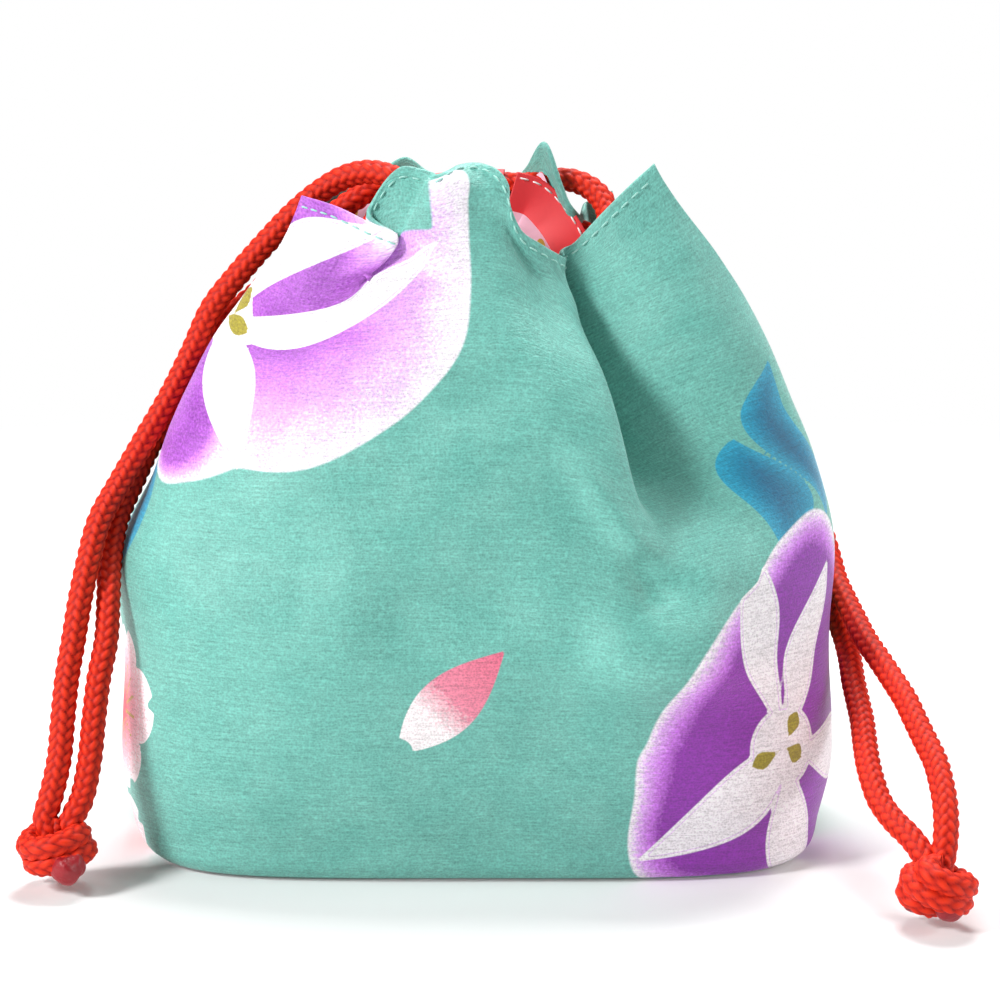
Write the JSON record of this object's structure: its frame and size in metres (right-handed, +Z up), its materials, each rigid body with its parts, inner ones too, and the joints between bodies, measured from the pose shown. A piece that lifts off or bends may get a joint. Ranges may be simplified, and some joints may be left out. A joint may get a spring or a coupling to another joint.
{
  "type": "drawstring bag",
  "caption": "Small gathered cloth bag on a flat bottom, closed by two knotted braided cords that run through a casing inside its mouth.",
  "frame": {"origin": "middle of the bag's bottom, on the surface it stands on; the cords are not counted", "axes": "+Z up, +X to the right seen from the front, and the front faces -Y"},
  "size_m": [0.2035, 0.1393, 0.1581],
  "materials": {
    "crepe": "printed crepe with a fine rib",
    "lining": "smooth lining with gold flecks",
    "casing": "red crepe",
    "thread": "sewing thread",
    "cord": "round braid",
    "fused_end": "cord fibres melted together"
  },
  "bodies": {
    "bag": {"bottom_panel": "crepe", "lining_bottom": "lining", "front_wall": "crepe", "back_wall": "crepe", "front_lining": "lining", "back_lining": "lining", "left_cord_loop": "cord", "right_cord_loop": "cord"},
    "front_mouth": {"front_mouth": "crepe", "front_mouth_lining": "lining", "front_casing": "casing", "front_casing_thread": "thread", "front_hem_thread": "thread"},
    "back_mouth": {"back_mouth": "crepe", "back_mouth_lining": "lining", "back_casing": "casing", "back_casing_thread": "thread", "back_hem_thread": "thread"},
    "left_lead": {"left_front_cord_lead": "cord", "left_back_cord_lead": "cord"},
    "left_tails": {"left_front_cord_tail": "cord", "left_back_cord_tail": "cord", "left_knot": "cord", "left_cord_end_1": "fused_end", "left_cord_end_2": "fused_end"},
    "right_lead": {"right_front_cord_lead": "cord", "right_back_cord_lead": "cord"},
    "right_tails": {"right_front_cord_tail": "cord", "right_back_cord_tail": "cord", "right_knot": "cord", "right_cord_end_1": "fused_end", "right_cord_end_2": "fused_end"}
  },
  "joints": [
    {"name": "front_mouth_open", "type": "slide", "parent": "bag", "child": "front_mouth", "axis": [0, -1, 0], "range_m": [0, 0.01], "deforming": ["left_cord_loop", "right_cord_loop"]},
    {"name": "back_mouth_open", "type": "slide", "parent": "bag", "child": "back_mouth", "axis": [0, 1, 0], "range_m": [0, 0.01]},
    {"name": "left_cord_run", "type": "slide", "parent": "bag", "child": "left_lead", "axis": [0, 0, 1], "range_m": [0, 0.014]},
    {"name": "right_cord_run", "type": "slide", "parent": "bag", "child": "right_lead", "axis": [0, 0, 1], "range_m": [0, 0.014]},
    {"name": "left_tails_swing", "type": "hinge", "parent": "left_lead", "child": "left_tails", "pos_m": [-0.0454, 0.003, 0.135], "axis": [0, 1, 0], "range_deg": [0, 130], "deforming": ["left_front_cord_lead", "left_back_cord_lead"]},
    {"name": "right_tails_swing", "type": "hinge", "parent": "right_lead", "child": "right_tails", "pos_m": [0.0494, 0.0026, 0.1273], "axis": [0, -1, 0], "range_deg": [0, 130], "deforming": ["right_front_cord_lead", "right_back_cord_lead"]}
  ],
  "couplings": [
    {"joint": "back_mouth_open", "follows": "front_mouth_open", "ratio": 1},
    {"joint": "left_cord_run", "follows": "front_mouth_open", "ratio": 1.4},
    {"joint": "right_cord_run", "follows": "front_mouth_open", "ratio": 1.4}
  ]
}
